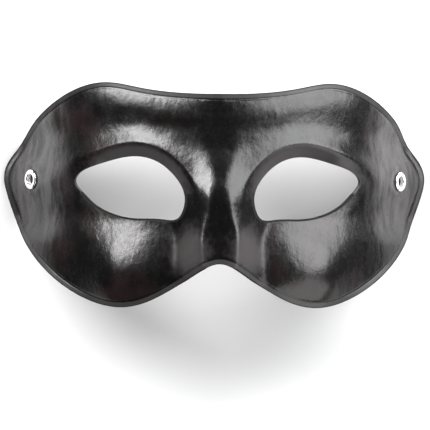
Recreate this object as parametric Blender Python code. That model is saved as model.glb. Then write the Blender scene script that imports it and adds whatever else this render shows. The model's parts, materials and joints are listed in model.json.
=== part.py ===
"""Party eye mask: a moulded half mask with two almond eye holes and a strap eyelet at each side.

The mask lies face up on its two side edges, as it would on a table.
X runs across the face, Y from the cheeks up to the forehead, and Z out of the face, away from the table.
The origin is on the table, under the middle of the mask. All lengths are in metres.
"""

import math

import bmesh
import bpy
import numpy as np
from mathutils import Matrix, Vector

# Overall size
MASK_WIDTH = 0.176
MASK_HEIGHT = 0.091
WRAP_DEPTH = 0.052
WALL = 0.0018

# Turned lip along the whole outer edge
LIP_WIDTH = 0.0021
LIP_SLOPE_SHARE = 0.3

# Side edges that the mask rests on: where they lie level, from the cheek's end to the forehead's, how fast
# they leave it, how far in the face bends to it, and how far its lowest place is lifted
FOOT_FROM = -0.006
FOOT_TO = 0.018
FOOT_BLEND = 0.012
FOOT_REACH = 0.016
FOOT_LIFT = 0.0015
FOOT_FOLD_RISE = 0.0007

# Eye holes
EYE_WIDTH = 0.0441
EYE_HEIGHT = 0.0253
EYE_FROM_MIDDLE = 0.0359
EYE_LIFT = 0.0029

# Relief of the face
FOREHEAD_LEAN = 0.0024
FOREHEAD_TURN = 0.0102
CHEEK_EDGE_LEAN = 0.0058
NOSE_RISE = 0.0105
NOSE_WIDTH = 0.0180
BROW_RISE = 0.0027
BROW_REACH = 0.0140
SOCKET_DEPTH = 0.0058
SOCKET_WIDTH = 0.0046
CHEEK_RISE = 0.0052
CHEEK_FROM_MIDDLE = 0.0408
CHEEK_INNER_WIDTH = 0.0175
CHEEK_OUTER_WIDTH = 0.0240

# Strap eyelets
EYELET_FROM_TIP = 0.0120
EYELET_LIFT = 0.0068
EYELET_BORE_RADIUS = 0.0022
EYELET_SHEET = 0.0004
EYELET_FLANGE_RADIUS = 0.00405
EYELET_CURL_RADIUS = 0.0037
EYELET_DOME = 0.0003
FLAT_PAD_MARGIN = 0.0006
FLAT_PAD_BLEND = 0.0050
FIT_GAP = 0.0003

# How finely the curved pieces are divided
SPOKES = 78
SOCKET_RINGS = 3
SOCKET_STEP = 0.0021
FACE_RINGS = 10
LIP_RINGS = 2
EYELET_SIDES = 28
OUTLINE_STEPS = 1440
RINGS = SOCKET_RINGS + FACE_RINGS
HOLE_REACH = 0.02

HALF_WIDTH = MASK_WIDTH / 2

# Outer edge of one half, from the forehead's middle round the side to the nose arch:
# name, share of the half width, share of the height
OUTLINE_SHARES = (
    ("forehead dip", 0.000, 0.441),
    ("forehead", 0.182, 0.447),
    ("brow rise", 0.366, 0.473),
    ("brow peak", 0.520, 0.499),
    ("brow fall", 0.627, 0.482),
    ("upper temple", 0.741, 0.427),
    ("temple", 0.857, 0.327),
    ("above the ear", 0.939, 0.215),
    ("ear tip, upper", 0.990, 0.139),
    ("ear tip", 1.000, 0.088),
    ("ear tip, lower", 0.985, 0.011),
    ("below the ear", 0.950, -0.088),
    ("side", 0.895, -0.205),
    ("lower side", 0.804, -0.322),
    ("jaw", 0.684, -0.417),
    ("cheek end", 0.560, -0.475),
    ("cheek bottom", 0.455, -0.494),
    ("cheek inner", 0.353, -0.480),
    ("nose arch start", 0.243, -0.431),
    ("nose arch side", 0.151, -0.376),
    ("nose arch shoulder", 0.068, -0.323),
    ("nose arch top", 0.000, -0.302),
)

# Eye hole, from its outer corner over the top: name, share of half the width, share of half the height
EYE_HOLE_SHARES = (
    ("outer corner", 1.000, 0.243),
    ("outer corner, upper", 0.941, 0.432),
    ("upper outer", 0.722, 0.648),
    ("upper lid", 0.334, 0.869),
    ("top", -0.081, 1.000),
    ("upper inner", -0.506, 0.820),
    ("inner slope", -0.800, 0.397),
    ("inner side", -1.000, -0.284),
    ("inner foot", -0.976, -0.689),
    ("inner corner", -0.867, -0.990),
    ("lower lid, inner", -0.605, -1.000),
    ("lower lid", -0.140, -0.974),
    ("lower outer", 0.294, -0.821),
    ("outer slope", 0.640, -0.507),
    ("outer corner, lower", 0.896, -0.075),
)

# Wrap round the head: share of the half width, share of the wrap depth
WRAP_SHARES = (
    (0.00, 0.00),
    (0.25, 0.05),
    (0.50, 0.212),
    (0.60, 0.30),
    (0.70, 0.415),
    (0.80, 0.572),
    (0.90, 0.805),
    (1.00, 1.05),
    (1.15, 1.48),
)

# How much tighter the wrap is above and below the ears: share of the height, factor
TIGHTER_SHARES = (
    (-0.50, 1.00),
    (-0.35, 0.99),
    (-0.20, 0.99),
    (-0.09, 1.02),
    (0.01, 1.01),
    (0.09, 1.00),
    (0.15, 1.012),
    (0.30, 1.01),
    (0.50, 0.99),
)

# Swell of the cheek: share of the height, of the rise, of the width to the nose, of the width to the ear
CHEEK_SHARES = (
    (-0.50, 1.00, 1.50, 0.42),
    (-0.42, 1.00, 1.55, 0.44),
    (-0.35, 0.93, 1.60, 0.51),
    (-0.27, 0.66, 1.70, 0.56),
    (-0.19, 0.33, 1.80, 0.66),
    (-0.11, 0.08, 1.90, 0.95),
    (-0.03, 0.00, 2.00, 1.00),
    (0.50, 0.00, 2.10, 1.00),
)

# Lean of the cheeks' lower edge: share of the height, share of the lean
CHEEK_EDGE_SHARES = (
    (-0.50, 1.00),
    (-0.44, 0.42),
    (-0.36, 0.10),
    (-0.26, 0.00),
    (-0.10, 0.00),
)

# How much the forehead's edge turns back: share of the half width, share of the turn
FOREHEAD_SHARES = (
    (0.00, 0.00),
    (0.10, 0.55),
    (0.22, 0.75),
    (0.35, 0.75),
    (0.50, 0.60),
    (0.62, 0.35),
    (0.74, 0.00),
    (0.82, 0.00),
    (1.20, 0.00),
)

# Nose ridge down the middle: share of the height, of the rise, of the width, of the width that is flat
NOSE_SHARES = (
    (-0.50, 1.08, 0.88, 0.25),
    (-0.30, 1.00, 0.88, 0.30),
    (-0.16, 0.93, 0.90, 0.30),
    (-0.08, 0.97, 1.03, 0.14),
    (0.00, 0.96, 1.12, 0.06),
    (0.10, 0.66, 1.18, 0.05),
    (0.20, 0.29, 1.25, 0.22),
    (0.30, 0.18, 1.25, 0.28),
    (0.40, 0.08, 1.83, 0.46),
    (0.50, 0.00, 1.83, 0.46),
)

# Half section across the nose: share of the way out from the flat, share of the rise
NOSE_SECTION_SHARES = (
    (0.00, 1.00),
    (0.15, 0.96),
    (0.30, 0.83),
    (0.50, 0.61),
    (0.70, 0.39),
    (0.85, 0.235),
    (1.00, 0.11),
    (1.15, 0.04),
    (1.40, 0.00),
)

# Section across the brow, out from the eye hole: share of the brow's reach, share of its rise
BROW_SECTION_SHARES = (
    (0.00, 0.65),
    (0.18, 0.93),
    (0.36, 1.00),
    (0.52, 0.72),
    (0.72, 0.33),
    (0.92, 0.085),
    (1.10, 0.00),
    (1.40, 0.00),
)

# Section across the socket, out from the eye hole: share of the socket's width, share of its depth
SOCKET_SECTION_SHARES = (
    (0.00, 1.00),
    (0.25, 0.74),
    (0.50, 0.48),
    (0.75, 0.22),
    (1.00, 0.04),
    (1.30, 0.00),
    (1.70, 0.00),
)

# Round the eye, by angle from the temple over the brow: degrees, share of the brow's rise, of the
# socket's depth
AROUND_EYE_SHARES = (
    (0.00, 0.22, 0.10),
    (30.00, 0.62, 0.25),
    (50.00, 0.68, 0.75),
    (70.00, 0.68, 1.00),
    (100.00, 0.73, 1.00),
    (120.00, 0.86, 0.80),
    (140.00, 0.78, 0.60),
    (160.00, 0.54, 0.50),
    (180.00, 0.12, 0.25),
    (205.00, 0.00, 0.05),
    (225.00, 0.00, 0.00),
    (265.00, 0.00, 0.00),
    (310.00, 0.00, 0.00),
    (360.00, 0.22, 0.10),
)


def bend_of(knots, values, closed):
    """Second derivatives, at the knots, of the smooth cubic through them."""
    gaps = np.diff(knots)[:, None]
    rises = np.diff(values, axis=0) / gaps
    system = np.eye(len(knots))
    target = np.zeros_like(values)
    for i in range(1, len(knots) - 1):
        before, after = gaps[i - 1, 0], gaps[i, 0]
        system[i, i - 1 : i + 2] = before, 2 * (before + after), after
        target[i] = 6 * (rises[i] - rises[i - 1])
    if closed:
        first, last = gaps[0, 0], gaps[-1, 0]
        system[0, -1] = -1
        system[-1, :2] = 2 * first, first
        system[-1, -2:] = last, 2 * last
        target[-1] = 6 * (rises[0] - rises[-1])
    return np.linalg.solve(system, target)


def smooth_through(knots, values, at, closed=False):
    """The smooth cubic through rows of values at the knots, read at the places asked for."""
    knots = np.asarray(knots, float)
    values = np.asarray(values, float).reshape(len(knots), -1)
    bends = bend_of(knots, values, closed)
    at = np.clip(at, knots[0], knots[-1])
    span = np.clip(np.searchsorted(knots, at, side="right") - 1, 0, len(knots) - 2)
    gap = (knots[span + 1] - knots[span])[..., None]
    right = (at - knots[span])[..., None] / gap
    left = 1 - right
    bent = (left**3 - left) * bends[span] + (right**3 - right) * bends[span + 1]
    return left * values[span] + right * values[span + 1] + bent * gap**2 / 6


def follow(rows, at, column=1, closed=False):
    """One column of a table, read smoothly at the places asked for in its first column."""
    knots = [row[0] for row in rows]
    return smooth_through(knots, [row[column] for row in rows], at, closed)[..., 0]


def mirrored(rows):
    """A table that starts at 0 and is the same on both sides of it."""
    return tuple((-row[0], row[1]) for row in rows[:0:-1]) + tuple(rows)


def loop_through(points, steps):
    """A smooth closed loop through the points, divided evenly by length."""
    ring = np.array(list(points) + [points[0]], float)
    lengths = np.linalg.norm(np.diff(ring, axis=0), axis=1)
    knots = np.concatenate([[0], np.cumsum(lengths)])
    dense = smooth_through(knots, ring, np.linspace(0, knots[-1], 4 * steps + 1), True)
    run = np.concatenate([[0], np.cumsum(np.linalg.norm(np.diff(dense, axis=0), axis=1))])
    even = np.linspace(0, run[-1], steps, endpoint=False)
    return np.column_stack([np.interp(even, run, dense[:, i]) for i in (0, 1)])


def outer_edge():
    """The mask's outline seen from the front, clockwise from the forehead's middle."""
    half = [(x * HALF_WIDTH, y * MASK_HEIGHT) for _, x, y in OUTLINE_SHARES]
    other = [(-x, y) for x, y in half[-2:0:-1]]
    return loop_through(half + other, OUTLINE_STEPS)


def eye_edge():
    """The right-hand eye hole's outline seen from the front."""
    middle = np.array([EYE_FROM_MIDDLE, EYE_LIFT])
    size = np.array([EYE_WIDTH, EYE_HEIGHT]) / 2
    return loop_through([middle + size * (x, y) for _, x, y in EYE_HOLE_SHARES], OUTLINE_STEPS)


def moved_in(loop, distance):
    """A clockwise loop moved inwards by a distance, point for point."""
    along = np.roll(loop, -1, axis=0) - np.roll(loop, 1, axis=0)
    along /= np.linalg.norm(along, axis=1)[:, None]
    return loop + distance * np.column_stack([along[:, 1], -along[:, 0]])


def distance_to(loop, x, y):
    """How far each point lies from a loop."""
    points = np.column_stack([np.ravel(x), np.ravel(y)])
    ends = np.roll(loop, -1, axis=0)
    sides = ends - loop
    best = np.full(len(points), np.inf)
    for start, side in zip(loop, sides):
        away = points - start
        share = np.clip(away @ side / (side @ side), 0, 1)
        best = np.minimum(best, ((away - share[:, None] * side) ** 2).sum(axis=1))
    return np.sqrt(best).reshape(np.shape(x))


def bell(distance, width):
    """1 in the middle, falling smoothly to 0 over about twice the width."""
    return np.exp(-((distance / width) ** 2))


def wrap_height(x, y):
    """The plain wrap round the head, with the lean of the cheeks' lower edge."""
    up = y / MASK_HEIGHT
    across = np.abs(x) / HALF_WIDTH * follow(TIGHTER_SHARES, up)
    wrap = WRAP_DEPTH * (1 - follow(mirrored(WRAP_SHARES), across))
    return wrap - CHEEK_EDGE_LEAN * follow(CHEEK_EDGE_SHARES, up)


def forehead_turn(x, y):
    """How far the face turns back along the forehead's edge."""
    away = distance_to(outer_edge()[::6], x, y)
    part = np.where(y > 0, np.clip(1 - away / FOREHEAD_TURN, 0, None), 0)
    return FOREHEAD_LEAN * part**2 * follow(FOREHEAD_SHARES, np.abs(x) / HALF_WIDTH)


def nose_height(x, y):
    """The ridge of the nose."""
    up = y / MASK_HEIGHT
    width = NOSE_WIDTH * follow(NOSE_SHARES, up, 2)
    flat = NOSE_WIDTH * follow(NOSE_SHARES, up, 3)
    out = np.clip(np.abs(x) - flat, 0, None) / (width - flat)
    return NOSE_RISE * follow(NOSE_SHARES, up) * follow(mirrored(NOSE_SECTION_SHARES), out)


def cheek_height(x, y):
    """The swell of the cheeks below the eyes."""
    up = y / MASK_HEIGHT
    out = np.abs(x) - CHEEK_FROM_MIDDLE
    inner = CHEEK_INNER_WIDTH * follow(CHEEK_SHARES, up, 2)
    outer = CHEEK_OUTER_WIDTH * follow(CHEEK_SHARES, up, 3)
    return CHEEK_RISE * follow(CHEEK_SHARES, up) * bell(out, np.where(out < 0, inner, outer))


def brow_height(x, y):
    """The brow's ridge round the eye, and the socket that falls from it to the hole."""
    away = distance_to(eye_edge()[::6], np.abs(x), y)
    angle = np.degrees(np.arctan2(y - EYE_LIFT, np.abs(x) - EYE_FROM_MIDDLE)) % 360
    ridge = follow(AROUND_EYE_SHARES, angle, 1, True) * follow(BROW_SECTION_SHARES, away / BROW_REACH)
    fall = follow(AROUND_EYE_SHARES, angle, 2, True) * follow(SOCKET_SECTION_SHARES, away / SOCKET_WIDTH)
    return BROW_RISE * ridge - SOCKET_DEPTH * fall


def raised_height(x, y):
    """Height of the outer face before the side edges are levelled."""
    raised = nose_height(x, y) + cheek_height(x, y) + brow_height(x, y)
    return wrap_height(x, y) - forehead_turn(x, y) + raised


def smooth_step(part):
    """0 below 0, 1 above 1, and smooth between them."""
    part = np.clip(part, 0, 1)
    return part**2 * (3 - 2 * part)


def side_fold():
    """Places along the side, from the cheek up, and the height of the lip's fold there."""
    fold = moved_in(outer_edge(), LIP_WIDTH)
    side = fold[fold[:, 0] > 0.7 * HALF_WIDTH][::-12]
    return side[:, 1], raised_height(side[:, 0], side[:, 1])


def free_height(x, y):
    """Height of the mask's outer face before the eyelets press their pads flat."""
    up, fold = side_fold()
    base = fold.min() + FOOT_LIFT
    near = smooth_step((up - FOOT_FROM) / FOOT_BLEND + 1) * smooth_step((FOOT_TO - up) / FOOT_BLEND + 1)
    away = distance_to(outer_edge()[::6], x, y) - LIP_WIDTH
    part = np.clip(1 - away / FOOT_REACH, 0, 1)
    levelled = np.interp(y, up, (fold - base) * near) * part**2
    return raised_height(x, y) - base + FOOT_FOLD_RISE - levelled


def eyelet_seat():
    """Where the right-hand eyelet's middle meets the outer face, and the face's two slopes there."""
    x, y = HALF_WIDTH - EYELET_FROM_TIP, EYELET_LIFT
    step = 0.5 * EYELET_FLANGE_RADIUS
    xs = np.array([x, x + step, x - step, x, x])
    ys = np.array([y, y, y, y + step, y - step])
    z = free_height(xs, ys)
    return (x, y, z[0]), ((z[1] - z[2]) / (2 * step), (z[3] - z[4]) / (2 * step))


def face_height(x, y):
    """Height of the mask's outer face above its lowest point."""
    (at_x, at_y, at_z), (slope_x, slope_y) = eyelet_seat()
    out, up = np.abs(x) - at_x, y - at_y
    plane = at_z + slope_x * out + slope_y * up
    away = np.sqrt(out**2 * (1 + slope_x**2) + up**2 * (1 + slope_y**2))
    flat = EYELET_FLANGE_RADIUS + FLAT_PAD_MARGIN
    share = np.clip((away - flat) / FLAT_PAD_BLEND, 0, 1)
    blend = share**3 * (10 - 15 * share + 6 * share**2)
    return plane + blend * (free_height(x, y) - plane)


def spoke_angles(hole, rim):
    """Angles round the eye's middle that divide both the hole and the rim about evenly."""
    spread = np.linspace(0, 2 * math.pi, OUTLINE_STEPS + 1)
    lengths = []
    for radius in (hole, rim):
        run = radius(spread)[:, None] * np.column_stack([np.cos(spread), np.sin(spread)])
        lengths.append(np.linalg.norm(np.diff(run, axis=0), axis=1))
    weight = lengths[0] / lengths[0].sum() + lengths[1] / lengths[1].sum()
    return spread, np.concatenate([[0], np.cumsum(weight)]) / weight.sum()


def reach(loop, middle):
    """A loop round the middle as a function from angle to radius."""
    away = loop - middle
    angle = np.arctan2(away[:, 1], away[:, 0]) % (2 * math.pi)
    order = np.argsort(angle)
    radius = np.linalg.norm(away, axis=1)[order]
    return lambda at: np.interp(at, angle[order], radius, period=2 * math.pi)


def half_domain():
    """The right half seen from the front: rings from the eye hole out to the lip's fold and the middle line."""
    outline = outer_edge()
    right = outline[: OUTLINE_STEPS // 2 + 1]
    fold = moved_in(outline, LIP_WIDTH)[: OUTLINE_STEPS // 2 + 1]
    fold[[0, -1], 0] = 0
    rise = np.linspace(fold[-1, 1], fold[0, 1], OUTLINE_STEPS // 4)[1:-1]
    boundary = np.vstack([fold, np.column_stack([np.zeros_like(rise), rise])])
    middle = np.array([EYE_FROM_MIDDLE, EYE_LIFT])
    hole_at, rim_at = reach(eye_edge(), middle), reach(boundary, middle)
    spread, share = spoke_angles(hole_at, rim_at)

    top, arch = (math.atan2(*(fold[i] - middle)[::-1]) % (2 * math.pi) for i in (0, -1))
    shares = np.interp([top, arch], spread, share)
    middle_spokes = max(4, round(SPOKES * (shares[1] - shares[0])))
    rim_shares = np.linspace(shares[1], shares[0] + 1, SPOKES - middle_spokes + 1)[::-1]
    line_shares = np.linspace(shares[1], shares[0], middle_spokes + 1)[1:-1]
    angles = np.interp(np.concatenate([rim_shares, line_shares]) % 1, share, spread)
    ray = np.column_stack([np.cos(angles), np.sin(angles)])
    radii = [hole_at(angles)]
    for i in range(SOCKET_RINGS):
        radii.append(reach(moved_in(eye_edge(), (i + 1) * SOCKET_STEP), middle)(angles))
    inner, outer = radii[-1], rim_at(angles)
    radii += [inner + s * (outer - inner) for s in np.arange(1, FACE_RINGS + 1) / FACE_RINGS]
    rings = [middle + ray * radius[:, None] for radius in radii]

    on_rim = len(rim_shares)
    fold_angle = np.unwrap(np.arctan2(fold[:, 1] - middle[1], fold[:, 0] - middle[0]))
    ask = np.unwrap(angles[:on_rim])
    ask += 2 * math.pi * round((fold_angle[0] - ask[0]) / (2 * math.pi))
    place = np.interp(-ask, -fold_angle, np.arange(len(fold)))
    for s in np.arange(LIP_RINGS + 1) / LIP_RINGS:
        strip = fold + s * (right - fold)
        points = [np.interp(place, np.arange(len(fold)), strip[:, i]) for i in (0, 1)]
        rings.append(np.column_stack(points))
    rings[RINGS][:on_rim] = rings[RINGS + 1]
    del rings[RINGS + 1]
    rings[RINGS][[0, on_rim - 1], 0] = 0
    rings[RINGS][on_rim:, 0] = 0
    for ring in rings[RINGS + 1 :]:
        ring[[0, -1], 0] = 0
    return rings, on_rim


def lip_height(ring, fold, fold_height, slope):
    """Height of a ring of the lip, which leaves the fold flatter than the face does."""
    width = np.linalg.norm(ring - fold, axis=1)
    return fold_height + LIP_SLOPE_SHARE * slope * width


def half_rings():
    """The rings of the right half in space, and how many points of each lie along the rim."""
    rings, on_rim = half_domain()
    placed = [np.column_stack([ring, face_height(ring[:, 0], ring[:, 1])]) for ring in rings[: RINGS + 1]]
    fold = rings[RINGS][:on_rim]
    edge = rings[-1]
    out = (edge - fold) / np.linalg.norm(edge - fold, axis=1)[:, None]
    inside = fold - 0.5 * LIP_WIDTH * out
    fold_height = placed[RINGS][:on_rim, 2]
    slope = (fold_height - face_height(inside[:, 0], inside[:, 1])) / (0.5 * LIP_WIDTH)
    for ring in rings[RINGS + 1 :]:
        height = np.clip(lip_height(ring, fold, fold_height, slope), 0, None)
        placed.append(np.column_stack([ring, height]))
    return placed, on_rim


def shell_sheet():
    """The mask's outer face as one open mesh."""
    rings, on_rim = half_rings()
    mesh = bmesh.new()
    for side in (1, -1):
        made = [[mesh.verts.new((side * x, y, z)) for x, y, z in ring] for ring in rings]
        for k in range(len(made) - 1):
            inner, outer = made[k], made[k + 1]
            closes = k < RINGS
            for i in range(len(outer) if closes else on_rim - 1):
                j = (i + 1) % len(outer)
                corners = (inner[i], outer[i], outer[j], inner[j])
                mesh.faces.new(corners[::-side])
    bmesh.ops.remove_doubles(mesh, verts=mesh.verts, dist=1e-6)
    return mesh


def material(name, colour, roughness, metallic):
    """A plain surface of one colour."""
    made = bpy.data.materials.new(name)
    made.use_nodes = True
    shader = made.node_tree.nodes["Principled BSDF"]
    shader.inputs["Base Color"].default_value = (*colour, 1)
    shader.inputs["Roughness"].default_value = roughness
    shader.inputs["Metallic"].default_value = metallic
    return made


def add_object(name, mesh, surface=None):
    """A mesh as a named object in the scene."""
    data = bpy.data.meshes.new(name)
    mesh.to_mesh(data)
    mesh.free()
    data.shade_smooth()
    data.set_sharp_from_angle(angle=math.radians(40))
    made = bpy.data.objects.new(name, data)
    bpy.context.scene.collection.objects.link(made)
    if surface:
        data.materials.append(surface)
    return made


def eyelet_place(side):
    """The frame of an eyelet: its middle on the outer face, its own Z along the face's normal."""
    (x, y, z), (slope_x, slope_y) = eyelet_seat()
    normal = Vector((-side * slope_x, -slope_y, 1)).normalized()
    turn = normal.to_track_quat("Z", "Y").to_matrix().to_4x4()
    return Matrix.Translation((side * x, y, z)) @ turn


def eyelet_profile():
    """Half section of an eyelet, radius and height over the outer face, round from the bore's front edge."""
    bore = EYELET_BORE_RADIUS
    barrel = bore + EYELET_SHEET
    front, back = FIT_GAP, -WALL - FIT_GAP
    top, end = front + EYELET_SHEET + EYELET_DOME, back - EYELET_SHEET
    flange, curl = EYELET_FLANGE_RADIUS, EYELET_CURL_RADIUS
    wide = flange - bore
    return (
        (bore, front),
        (bore + 0.09 * wide, top - 0.45 * EYELET_DOME),
        (bore + 0.28 * wide, top),
        (bore + 0.62 * wide, top),
        (bore + 0.88 * wide, top - 0.40 * EYELET_DOME),
        (flange, front + 0.5 * EYELET_SHEET),
        (flange - 0.5 * EYELET_SHEET, front),
        (barrel, front),
        (barrel, back),
        (curl - 0.5 * EYELET_SHEET, back),
        (curl, back - 0.4 * EYELET_SHEET),
        (curl - 0.5 * EYELET_SHEET, end),
        (barrel, end),
        (bore, end + 0.4 * EYELET_SHEET),
    )


def turned(profile, sides):
    """A closed profile of radius and height turned round Z."""
    mesh = bmesh.new()
    rings = []
    for i in range(sides):
        angle = 2 * math.pi * i / sides
        ray = Vector((math.cos(angle), math.sin(angle), 0))
        rings.append([mesh.verts.new(ray * r + Vector((0, 0, z))) for r, z in profile])
    for i in range(sides):
        here, there = rings[i], rings[(i + 1) % sides]
        for k in range(len(profile)):
            m = (k + 1) % len(profile)
            mesh.faces.new((here[k], here[m], there[m], there[k]))
    bmesh.ops.recalc_face_normals(mesh, faces=mesh.faces)
    return mesh


def add_eyelet(name, side, surface):
    """One strap eyelet: flange in front, barrel through the wall, curl behind."""
    eyelet = add_object(name, turned(eyelet_profile(), EYELET_SIDES), surface)
    eyelet.matrix_world = eyelet_place(side)
    return eyelet


def cut_strap_hole(shell, side):
    """The hole in the wall that an eyelet's barrel passes through."""
    radius = EYELET_BORE_RADIUS + EYELET_SHEET + FIT_GAP
    mesh = bmesh.new()
    bmesh.ops.create_cone(
        mesh,
        cap_ends=True,
        segments=EYELET_SIDES,
        radius1=radius,
        radius2=radius,
        depth=HOLE_REACH,
    )
    cutter = add_object("strap_hole_" + ("right" if side > 0 else "left"), mesh)
    cutter.matrix_world = eyelet_place(side)
    cutter.hide_render = True
    cutter.display_type = "WIRE"
    cut = shell.modifiers.new(cutter.name, "BOOLEAN")
    cut.operation = "DIFFERENCE"
    cut.solver = "EXACT"
    cut.object = cutter


def add_shell(surface):
    """The moulded shell: its outer face given the wall's thickness, with the strap holes through it."""
    shell = add_object("mask_shell", shell_sheet(), surface)
    thicken = shell.modifiers.new("wall", "SOLIDIFY")
    thicken.thickness = WALL
    thicken.offset = -1
    thicken.use_even_offset = True
    for side in (-1, 1):
        cut_strap_hole(shell, side)
    return shell


def stand_on_origin(pieces):
    """Moves the mask so that the origin is under its middle, on the surface that it lies on."""
    bpy.context.view_layer.update()
    shell = pieces[0].evaluated_get(bpy.context.evaluated_depsgraph_get())
    corners = np.array([shell.matrix_world @ v.co for v in shell.to_mesh().vertices])
    low, high = corners.min(axis=0), corners.max(axis=0)
    shift = Vector((-(low[0] + high[0]) / 2, -(low[1] + high[1]) / 2, -low[2]))
    for piece in pieces:
        piece.matrix_world = Matrix.Translation(shift) @ piece.matrix_world


def main():
    for old in list(bpy.data.objects):
        bpy.data.objects.remove(old)
    leather = material("black_leather", (0.012, 0.011, 0.012), 0.35, 0.0)
    nickel = material("nickel", (0.80, 0.80, 0.80), 0.2, 1.0)
    shell = add_shell(leather)
    eyelets = [
        add_eyelet("eyelet_left", -1, nickel),
        add_eyelet("eyelet_right", 1, nickel),
    ]
    cutters = [o for o in bpy.data.objects if o.hide_render]
    stand_on_origin([shell, *eyelets, *cutters])


main()
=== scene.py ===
"""Party eye mask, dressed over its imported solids: a moulded leather half mask with two metal eyelets.

X runs across the face, Y from the cheeks up to the forehead, and Z out of the face, away from the table.
All lengths are in metres.
"""

import json
import math

import bmesh
import bpy
import numpy as np
from bpy.props import FloatProperty, FloatVectorProperty, PointerProperty
from mathutils import Matrix, Vector

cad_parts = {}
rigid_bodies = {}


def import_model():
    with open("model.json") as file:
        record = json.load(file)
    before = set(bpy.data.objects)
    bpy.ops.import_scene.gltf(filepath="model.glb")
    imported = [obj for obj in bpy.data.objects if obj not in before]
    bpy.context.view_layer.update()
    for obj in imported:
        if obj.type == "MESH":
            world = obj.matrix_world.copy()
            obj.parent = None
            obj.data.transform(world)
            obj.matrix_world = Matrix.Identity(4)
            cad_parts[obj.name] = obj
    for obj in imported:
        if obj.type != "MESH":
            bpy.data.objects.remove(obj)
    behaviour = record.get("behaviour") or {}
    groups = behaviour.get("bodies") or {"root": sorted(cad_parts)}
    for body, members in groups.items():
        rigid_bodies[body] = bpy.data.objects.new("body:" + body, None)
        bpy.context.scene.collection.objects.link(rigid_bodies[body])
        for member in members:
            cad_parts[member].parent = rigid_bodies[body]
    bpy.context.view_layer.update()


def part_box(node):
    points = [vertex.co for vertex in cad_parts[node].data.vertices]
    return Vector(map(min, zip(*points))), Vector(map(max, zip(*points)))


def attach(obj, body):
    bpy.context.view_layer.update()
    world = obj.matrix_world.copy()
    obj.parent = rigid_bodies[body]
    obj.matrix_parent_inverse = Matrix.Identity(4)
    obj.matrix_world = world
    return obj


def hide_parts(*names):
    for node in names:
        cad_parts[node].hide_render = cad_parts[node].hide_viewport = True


bl_info = {
    "name": "Party eye mask",
    "version": (1, 0, 0),
    "blender": (4, 5, 0),
    "location": "3D View > Sidebar > Mask",
    "description": "Builds a moulded leather half mask with strap eyelets, and a small studio for it",
    "category": "Add Mesh",
}

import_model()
SHELL_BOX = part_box("mask_shell")

# How finely the shell is divided
SPOKES = 216
SOCKET_RINGS = 10
SOCKET_STEP = 0.0007
FACE_RINGS = 30
RING_CROWDING = 1.4
LIP_RINGS = 6
RINGS = SOCKET_RINGS + FACE_RINGS
OUTLINE_STEPS = 2880
EYELET_SIDES = 72

# Distances to an outline are measured from every so many-th of its points
OUTLINE_STRIDE = 12

# Share of the half width beyond which the outline counts as the side edge
SIDE_FROM = 0.7

# Depth of the block that cuts a strap hole
STRAP_HOLE_DEPTH = 0.02

# Marks that the mesh carries for the finish: millimetres to the outer edge, millimetres to the eye hole's
# lower half, and how hollow the place lies, from 0 to 1
MARKS = ("edge", "eye", "hollow")

# The sockets' mark, as a share of their width, the flanks' mark at its most, the height over which the eye
# hole's mark changes over, and the millimetres that keep its upper half out of reach
SOCKET_MARK_WIDTH = 1.35
FLANK_MARK = 0.45
LID_TURN = 0.006
UPPER_LID_AWAY = 5.0

# Outer edge of one half, from the forehead's middle round the side to the nose arch:
# name, share of the half width, share of the height
OUTLINE = (
    ("forehead dip", 0.000, 0.441),
    ("forehead", 0.182, 0.447),
    ("brow rise", 0.366, 0.473),
    ("brow peak", 0.520, 0.499),
    ("brow fall", 0.627, 0.482),
    ("upper temple", 0.741, 0.427),
    ("temple", 0.857, 0.327),
    ("above the ear", 0.939, 0.215),
    ("ear tip, upper", 0.990, 0.139),
    ("ear tip", 1.000, 0.088),
    ("ear tip, lower", 0.985, 0.011),
    ("below the ear", 0.950, -0.088),
    ("side", 0.895, -0.205),
    ("lower side", 0.804, -0.322),
    ("jaw", 0.684, -0.417),
    ("cheek end", 0.560, -0.475),
    ("cheek bottom", 0.455, -0.494),
    ("cheek inner", 0.353, -0.480),
    ("nose arch start", 0.243, -0.431),
    ("nose arch side", 0.151, -0.376),
    ("nose arch shoulder", 0.068, -0.323),
    ("nose arch top", 0.000, -0.302),
)

# Eye hole, from its outer corner over the top: name, share of half the width, share of half the height
EYE_HOLE = (
    ("outer corner", 1.000, 0.243),
    ("outer corner, upper", 0.941, 0.432),
    ("upper outer", 0.722, 0.648),
    ("upper lid", 0.334, 0.869),
    ("top", -0.081, 1.000),
    ("upper inner", -0.506, 0.820),
    ("inner slope", -0.800, 0.397),
    ("inner side", -1.000, -0.284),
    ("inner foot", -0.976, -0.689),
    ("inner corner", -0.867, -0.990),
    ("lower lid, inner", -0.605, -1.000),
    ("lower lid", -0.140, -0.974),
    ("lower outer", 0.294, -0.821),
    ("outer slope", 0.640, -0.507),
    ("outer corner, lower", 0.896, -0.075),
)

# Wrap round the head: share of the half width, share of the wrap depth
WRAP = (
    (0.00, 0.00),
    (0.25, 0.05),
    (0.50, 0.212),
    (0.60, 0.30),
    (0.70, 0.415),
    (0.80, 0.572),
    (0.90, 0.805),
    (1.00, 1.05),
    (1.15, 1.48),
)

# How much tighter the wrap is above and below the ears: share of the height, factor
TIGHTER = (
    (-0.50, 1.00),
    (-0.35, 0.99),
    (-0.20, 0.99),
    (-0.09, 1.02),
    (0.01, 1.01),
    (0.09, 1.00),
    (0.15, 1.012),
    (0.30, 1.01),
    (0.50, 0.99),
)

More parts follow.
